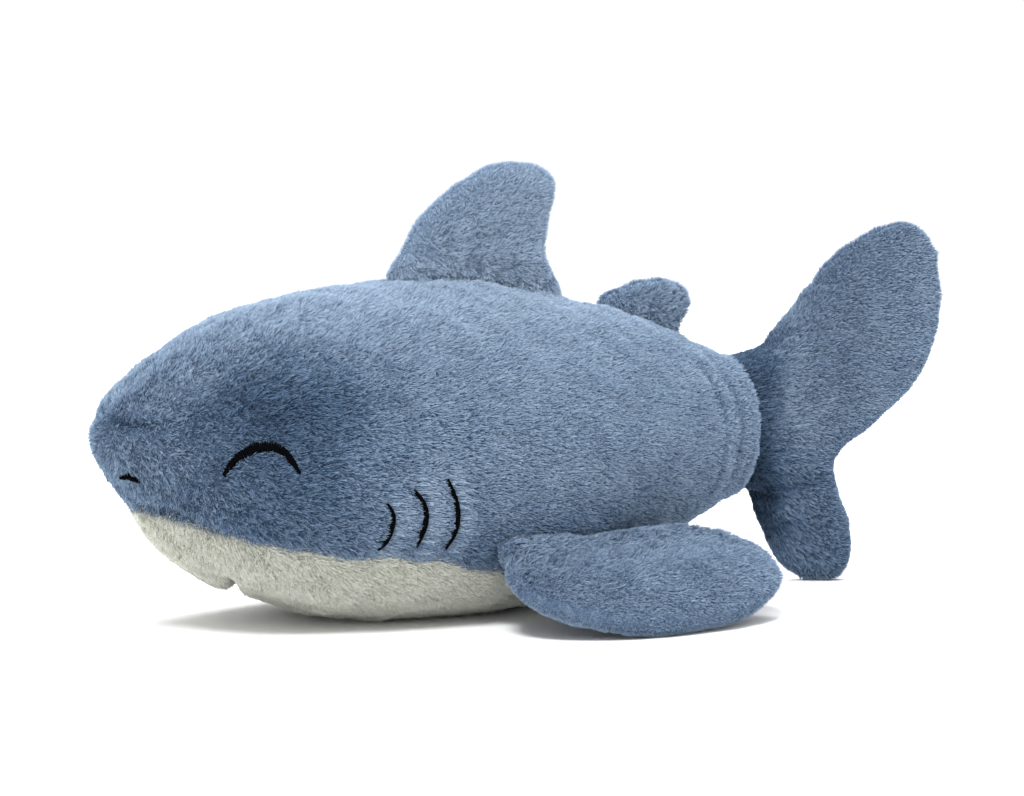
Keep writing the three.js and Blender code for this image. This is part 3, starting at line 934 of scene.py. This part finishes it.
# ---- fins ----
RIM_SINK = 0.0014        # how far the backing of a fin's rim lies under the tips of its pile
SINK_FROM = (-0.002, 0.009)
FIN_SKIN, SMALL_SKIN = (0.0027, 6), (0.0019, 10)
PLEAT = (0.0004, 0.011)  # height and spacing of the small pleats beside the root seam
FOLD_LEVEL = 0.0450      # height of the fold at the lower lobe of the tail
FOLD_DEPTH = 0.0014
TAIL_STRETCH = 0.0230    # how far the root of the tail fin reaches into the drawn-in tail stem
FOOT_DROP = 0.0045       # how far the two feet of the dorsal fin's root go down into the body


def tail_fold(co, h):
    """1 along the fold that runs from under the stem into the lower lobe of the tail."""
    level = FOLD_LEVEL + 0.004 * np.sin(h / 0.012)
    return bump(co[:, 2] - level, 0.0030) * (1 - ease(h, 0.010, 0.030))


def shape_tail(o, root):
    """Draws the root into the tail stem, slims the root's front edges, fills out the lobes."""
    co = coords(o.data)
    h, a, _ = from_root(co, root)
    at_root = 1 - ease(h, -0.002, 0.014)
    rise = 0.012 * (1 - ease(h, -0.018, 0.006)) * ease(-a, 0.028, 0.046)
    rise -= 0.003 * (1 - ease(h, -0.004, 0.012)) * ease(a, 0.015, 0.035)
    rise += 0.0025 * ease(a, 0.050, 0.085) - 0.0030 * ease(-a, 0.050, 0.070) * (1 - at_root)
    back = TAIL_STRETCH * (1 - ease(h, -0.012, 0.010)) * (1 - ease(np.abs(a), 0.024, 0.038))
    back += 0.002 * ease(h, 0.015, 0.030) * ease(-a, 0.020, 0.040)
    back -= 0.002 * ease(h, 0.025, 0.060) * ease(a, -0.005, 0.020)
    new = co + root.axis * rise[:, None] - root.out * back[:, None]
    set_coords(o.data, new - normals(o.data) * (FOLD_DEPTH * tail_fold(co, h))[:, None])


def shape_pectoral(o, root):
    """Flattens the upper side towards the root and narrows the root's front end."""
    co = coords(o.data)
    h, a, off = from_root(co, root)
    up = 1 if root.face[2] > 0 else -1
    front = -1 if root.axis[0] > 0 else 1
    thin = 0.62 * (1 - ease(h, 0.006, 0.036)) * (off * up > 0)
    narrow = 0.32 * (1 - ease(h, 0.002, 0.022)) * (a * front > 0)
    set_coords(o.data, co - root.face * (thin * off)[:, None] - root.axis * (narrow * a)[:, None])


def shape_dorsal(o, root):
    """Spreads the two feet of the root over the body and lifts the top edge."""
    co = coords(o.data)
    rear = np.sign(root.axis[0])
    h, a, _ = from_root(co, root)
    a = a * rear
    foot = 0.0028 * (1 - ease(h, 0.000, 0.012)) * ease(a, 0.016, 0.034)
    foot += 0.0020 * bump(h - 0.0085, 0.0065) * ease(-a, 0.018, 0.036)
    tall = 0.0014 * ease(h, 0.020, 0.045)
    tall -= FOOT_DROP * (1 - ease(h, -0.002, 0.012)) * ease(np.abs(a), 0.014, 0.032)
    set_coords(o.data, co + root.axis * (foot * rear)[:, None] + root.out * tall[:, None])


def shape_second(o, root):
    """Draws the rear end of the root in under the lobe and lifts the top edge a little."""
    co = coords(o.data)
    rear = np.sign(root.axis[0])
    h, a, _ = from_root(co, root)
    back = 0.0038 * (1 - ease(h, 0.002, 0.012)) * ease(a * rear, 0.002, 0.014)
    tall = 0.0004 * ease(h, 0.004, 0.018)
    set_coords(o.data, co - root.axis * (back * rear)[:, None] + root.out * tall[:, None])


def fin_skin(fin, swell, lump, shape):
    """Stuffed skin of a fin, from its CAD panels, with its rim seam held."""
    root = root_of(fin)
    nodes = [f"{fin}_panel_{s}" for s in FINS[fin]]
    o = new_object(f"{fin}_skin", node_mesh(nodes + [f"{fin}_stuffing"]))
    remesh(o, *(SMALL_SKIN if fin == "second_dorsal_fin" else FIN_SKIN))
    keep_biggest(o)
    h, _, off = from_root(coords(o.data), root)
    flat_on = np.abs(normals(o.data) @ root.face)
    depth = flat_on * np.minimum(PILE_SINK, 0.4 * np.abs(off)) + (1 - flat_on) * RIM_SINK
    sink(o, depth * (0.05 + 0.95 * ease(h, *SINK_FROM)))
    h, _, off = from_root(coords(o.data), root)
    at_rim = bump(off, 0.003) * (np.abs(normals(o.data) @ root.face) < 0.5)
    inflate(o, np.clip(np.maximum(at_rim, 1 - ease(h, -0.004, 0.012)), 0, 1), swell)
    subdivide(o)
    fin_folds(o, root, lump)
    shape(o, root)
    subdivide(o)
    lumps(o, [(0.0002, 0.016), (0.0001, 0.006)])
    return o


def fin_folds(o, root, lump):
    """Draws in the rim seam, pleats the cover beside the root and makes the stuffing uneven."""
    co, n = coords(o.data), normals(o.data)
    h, _, off = from_root(co, root)
    height, spacing = PLEAT
    rim = bump(off, 0.0022) * (np.abs(n @ root.face) < 0.75) * ease(h, 0.004, 0.014)
    rise = -0.0006 * rim + lump * noise(co, 0.045, 5) + 0.4 * lump * noise(co, 0.018, 6)
    rise += height * bump(h - 0.012, 0.008) * np.sin((co @ root.axis) / spacing * 2 * np.pi)
    set_coords(o.data, co + n * rise[:, None])


def fin_cover(skin, fin, name, shade, seed):
    """One side of a fin, cut out of its skin, with its pile."""
    root = root_of(fin)
    middle = node_mesh([name])
    sign = 1 if (coords(middle).mean(0) - root.at) @ root.face > 0 else -1
    bpy.data.meshes.remove(middle)
    o = cut_sheet(skin.data, f"{name}_cover", [(None, tuple(root.at), tuple(root.face * sign))])
    back_with_cloth(o)
    co = coords(o.data)
    h, a, _ = from_root(co, root)
    lie = 0.25 + 0.75 * np.abs(normals(o.data) @ root.face) ** 2
    length = np.minimum(floor_length(o), PILE * (0.45 + 0.55 * lie))
    wild = 0.65 + 0.8 * (1 - ease(h, 0.010, 0.035))
    way = (root.out * 0.60 + np.array([0.50, 0, 0])) * lie[:, None]
    if fin in UPRIGHT_FINS:
        low = (1 - ease(h, 0.002, 0.010))[:, None]
        way = way * (1 - low) + low * (root.face * sign * 0.5 - root.out * 0.5)
    if fin == "tail_fin":
        fan = (1 - ease(h, 0.005, 0.030))[:, None]
        way = way + fan * (root.out * 0.4 + root.axis * (a / 0.05)[:, None])
    cover_values(o, way, length, shade(co, h, a), wild)
    finish_cover(o, "plush_blue", seed + (sign > 0), name, bend(fin))


def bend(fin):
    """Settles a piece of a fin by baking its place into its mesh."""
    root = root_of(fin)
    return lambda piece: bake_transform(piece)


def even_shade(level):
    return lambda co, h, a: np.full(len(co), level)


def dorsal_shade(co, h, a):
    """Painted light: lighter pile all over the fin, a little more near the root."""
    return 0.17 + 0.07 * (1 - ease(h, 0.0, 0.022))


def tail_shade(co, h, a):
    """Painted shade in the crease at the stem, in the fold and towards the bottom of the lower lobe,
    painted light in the middle, painted light and dark tufts between.
    """
    tufts = np.sin(a / 0.0052 * 2 * np.pi + 4.0 * np.sin(a / 0.013) + 60 * h)
    fan = bump(h - 0.002, 0.012) * (1 - ease(np.abs(a), 0.034, 0.048))
    uneven = h - 0.003 * noise(co, 0.009, 31)
    # painted shade in the crease at the stem
    crease = 1 - ease(uneven, -0.010, 0.004)
    # painted light in the middle of the fin
    middle = bump(h - 0.014, 0.014) * bump(co[:, 2] - 0.066, 0.015)
    # painted shade towards the bottom of the lower lobe
    low = 1 - ease(co[:, 2], 0.055, 0.085)
    return 0.05 * tufts * fan - 0.26 * crease - 0.15 * low - 0.20 * tail_fold(co, h) + 0.10 * middle


# fin, swell, height of its lumps, stretch over which it bends, shape, shade
FIN_MAKE = [
    ("dorsal_fin", 0.003, 0.0004, (0.0, 0.020), shape_dorsal, dorsal_shade),
    # the second dorsal fin's pile is painted lighter all over as painted light
    ("second_dorsal_fin", 0.0015, 0.0001, (0.0, 0.012), shape_second, even_shade(0.09)),
    ("tail_fin", 0.003, 0.0005, (-0.010, 0.025), shape_tail, tail_shade),
    ("pectoral_fin_left", 0.003, 0.0005, (0.0, 0.022), shape_pectoral, even_shade(0.0)),
    ("pectoral_fin_right", 0.003, 0.0005, (0.0, 0.022), shape_pectoral, even_shade(0.0)),
]


def build_fins():
    for k, (fin, swell, lump, reach, shape, shade) in enumerate(FIN_MAKE):
        skin = fin_skin(fin, swell, lump, shape)
        for side in FINS[fin]:
            fin_cover(skin, fin, f"{fin}_panel_{side}", shade, 20 + 3 * k)
        stuffing(f"{fin}_stuffing", skin, bend(fin), root_of(fin))
        bpy.data.objects.remove(skin)


# ---- stuffing ----
WAD_SKIN = (0.004, 3)
WAD_CLEAR = 0.0022       # what stays free between a wad and the tips of the cover's pile
WAD_THINNER = 0.4


def skin_tree(skin):
    return BVHTree.FromPolygons([v.co for v in skin.vertices], [p.vertices for p in skin.polygons])


def keep_inside(o, skin, clear):
    """Draws a wad in wherever it comes too near the skin round it."""
    tree = skin_tree(skin)
    co = coords(o.data)
    for _ in range(2):
        for i, c in enumerate(co):
            hit, n, _, _ = tree.find_nearest(Vector(c))
            if (hit - Vector(c)).dot(n) < clear:
                co[i] = np.array(hit - n * clear)
    set_coords(o.data, co)


def stuffing(node, skin, settle, root=None):
    """A wad of fibrefill in the space the CAD gives it, thinned towards the face of a fin."""
    o = new_object(f"{node}_wad", node_mesh([node]))
    remesh(o, *WAD_SKIN)
    keep_biggest(o)
    subdivide(o)
    lumps(o, [(0.0007, 0.020), (0.0004, 0.008)])
    if root:
        co = coords(o.data)
        off = from_root(co, root)[2]
        set_coords(o.data, co - WAD_THINNER * off[:, None] * root.face)
    keep_inside(o, skin.data, WAD_CLEAR)
    smooth_faces(o.data)
    o.data.materials.clear()
    o.data.materials.append(FIBREFILL)
    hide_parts(node)
    settle(o)


# ---- satin stitches ----
STITCH = 0.00042         # thickness of one embroidery thread
STITCH_PITCH = 0.86      # of a thickness, from one thread to the next
STITCH_SIDES, STITCH_STEPS = 6, 6
WIDTHS = {"eye": 0.0048, "gill_1": 0.0026, "gill_2": 0.0030, "gill_3": 0.0027, "nostril": 0.0036}
TAPERS = {"eye": 0.62, "gill_1": 0.66, "gill_2": 0.62, "gill_3": 0.66, "nostril": 0.5}
THREAD_LIFT = 0.0023     # height of the ends of a stitch over the backing
NOSTRIL_SHIFT = {"left": (-0.0055, 0.0055, -0.0065), "right": (0.0080, 0.0070, -0.0030)}
NOSTRIL_TILT = 0.0030


def on_skin(tree, p):
    """Nearest place on the outside of the body skin and the way out there."""
    hit, n, _, _ = tree.find_nearest(Vector(p))
    return np.array(hit), np.array(n)


def even_curve(points, order=5):
    """A smooth curve through points that jitter a little."""
    t = np.linspace(-1, 1, len(points))
    return np.stack([np.polyval(np.polyfit(t, points[:, k], order), t) for k in range(3)], 1)


def thread_way(node, tree):
    """Evenly curved line of an embroidery on the skin, and the way off the skin along it."""
    kind, side = node.rsplit("_", 1)
    path = smooth_path(middle_line(node), 60)
    if kind == "nostril":
        path += NOSTRIL_SHIFT[side]
        path[:, 2] += np.linspace(-NOSTRIL_TILT, NOSTRIL_TILT, len(path))
    spots = [on_skin(tree, p) for p in path]
    return even_curve(np.array([s[0] for s in spots])), even_curve(np.array([s[1] for s in spots]))


def at_run(s, run, line):
    """Place on a line at a distance along it."""
    return np.array([np.interp(s, run, line[:, k]) for k in range(3)])


def stitch_axes(s, run, base, up):
    """Middle of a stitch, the ways ahead and across the line there, and the way off the skin."""
    n = at_run(s, run, up)
    ahead = at_run(min(s + 1e-3, run[-1]), run, base) - at_run(max(s - 1e-3, 0), run, base)
    n /= np.linalg.norm(n)
    ahead -= n * (ahead @ n)
    ahead /= np.linalg.norm(ahead)
    return at_run(s, run, base), ahead, np.cross(n, ahead), n


def add_stitch(verts, faces, axes, half, slant):
    """One thread over the line, bowed up in the middle and tucked into the pile at both ends."""
    c, ahead, across, n = axes
    first = len(verts)
    for k in range(STITCH_STEPS + 1):
        a = -1 + 2 * k / STITCH_STEPS
        rise = THREAD_LIFT + 0.0007 * (1 - a * a) - 0.0012 * abs(a) ** 6
        q = c + across * (half * a) + slant * a + n * rise
        tilt = n * (0.0014 * a / STITCH_STEPS)
        r = STITCH / 2 * (1.0 if 0 < k < STITCH_STEPS else 0.6)
        for m in range(STITCH_SIDES):
            t = 2 * math.pi * m / STITCH_SIDES
            verts.append(q + tilt + ahead * (r * math.cos(t)) + n * (r * math.sin(t)))
    for k in range(STITCH_STEPS):
        ring = first + k * STITCH_SIDES
        for m in range(STITCH_SIDES):
            a0, a1 = ring + m, ring + (m + 1) % STITCH_SIDES
            faces.append((a0, a1, a1 + STITCH_SIDES, a0 + STITCH_SIDES))
    last = first + STITCH_STEPS * STITCH_SIDES
    faces.append(tuple(first + m for m in reversed(range(STITCH_SIDES))))
    faces.append(tuple(last + m for m in range(STITCH_SIDES)))


def satin(node, tree):
    """An embroidered line: threads side by side, shorter towards its two ends."""
    kind = node.rsplit("_", 1)[0]
    base, up = thread_way(node, tree)
    run = np.concatenate([[0], np.cumsum(np.linalg.norm(np.diff(base, axis=0), axis=1))])
    count = int(run[-1] / (STITCH * STITCH_PITCH))
    rng = np.random.default_rng(len(node) * 7 + int(run[-1] * 1e5))
    verts, faces = [], []
    for i in range(count + 1):
        axes = stitch_axes(run[-1] * i / count, run, base, up)
        u = abs(2 * i / count - 1)
        half = WIDTHS[kind] / 2 * (1 - TAPERS[kind] * u ** 1.9) * rng.uniform(0.94, 1.05)
        slant = axes[1] * rng.uniform(-0.1, 0.1) * half
        add_stitch(verts, faces, axes, half, slant)
    mesh = bpy.data.meshes.new(node)
    mesh.from_pydata([tuple(v) for v in verts], [], faces)
    smooth_faces(mesh)
    mesh.materials.append(THREAD)
    o = new_object(f"{node}_stitches", mesh)
    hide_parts(node)
    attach(o, "torso")


# ---- stage ----
CAMERA_TARGET = Vector((0.0036, 0.0, 0.092))
CAMERA_TURN, CAMERA_LIFT, CAMERA_FAR = math.radians(33), math.radians(5.5), 1.8
CAMERA_LENS = 139.4
FLOOR_SIZE = 120.0       # large enough to have no edge in any view


def camera():
    """Looks at the left side from a little ahead and above, as in the photo."""
    turn, lift = CAMERA_TURN, CAMERA_LIFT
    flat = math.cos(lift)
    back = Vector((-math.sin(turn) * flat, -math.cos(turn) * flat, math.sin(lift)))
    cam = bpy.data.cameras.new("camera")
    cam.lens, cam.sensor_width = CAMERA_LENS, 36
    o = bpy.data.objects.new("camera", cam)
    bpy.context.scene.collection.objects.link(o)
    o.location = CAMERA_TARGET + back * CAMERA_FAR
    o.rotation_mode = "QUATERNION"
    o.rotation_quaternion = (-back).to_track_quat("-Z", "Y")
    bpy.context.scene.camera = o


def lamp(name, place, target, size, power):
    data = bpy.data.lights.new(name, "AREA")
    data.shape, data.size, data.energy = "DISK", size, power
    o = bpy.data.objects.new(name, data)
    bpy.context.scene.collection.objects.link(o)
    o.location = place
    o.rotation_mode = "QUATERNION"
    o.rotation_quaternion = (Vector(target) - Vector(place)).to_track_quat("-Z", "Y")


def stage():
    """Pale floor, white surroundings and two large soft lamps."""
    mesh = bpy.data.meshes.new("floor")
    w = FLOOR_SIZE / 2
    mesh.from_pydata([(-w, -w, 0), (w, -w, 0), (w, w, 0), (-w, w, 0)], [], [(0, 1, 2, 3)])
    paint, _, shader = new_material("floor_paint")
    shader.inputs["Base Color"].default_value = (0.97, 0.97, 0.97, 1)
    shader.inputs["Roughness"].default_value = 0.9
    mesh.materials.append(paint)
    new_object("floor", mesh)
    world = bpy.data.worlds.new("studio")
    world.use_nodes = True
    background = world.node_tree.nodes["Background"]
    background.inputs["Color"].default_value = (1, 1, 1, 1)
    background.inputs["Strength"].default_value = 1.07
    bpy.context.scene.world = world
    lamp("key", (-0.7, -0.7, 1.6), (0, 0, 0.06), 0.6, 30)
    lamp("rim", (0.5, 0.9, 1.4), (0, 0, 0.08), 0.7, 30)
    bpy.context.scene.view_settings.view_transform = "Standard"


camera()
stage()
tree = build_body()
build_fins()
for node in LINES:
    satin(node, tree)
bpy.data.meshes.remove(BLUE_LOW)
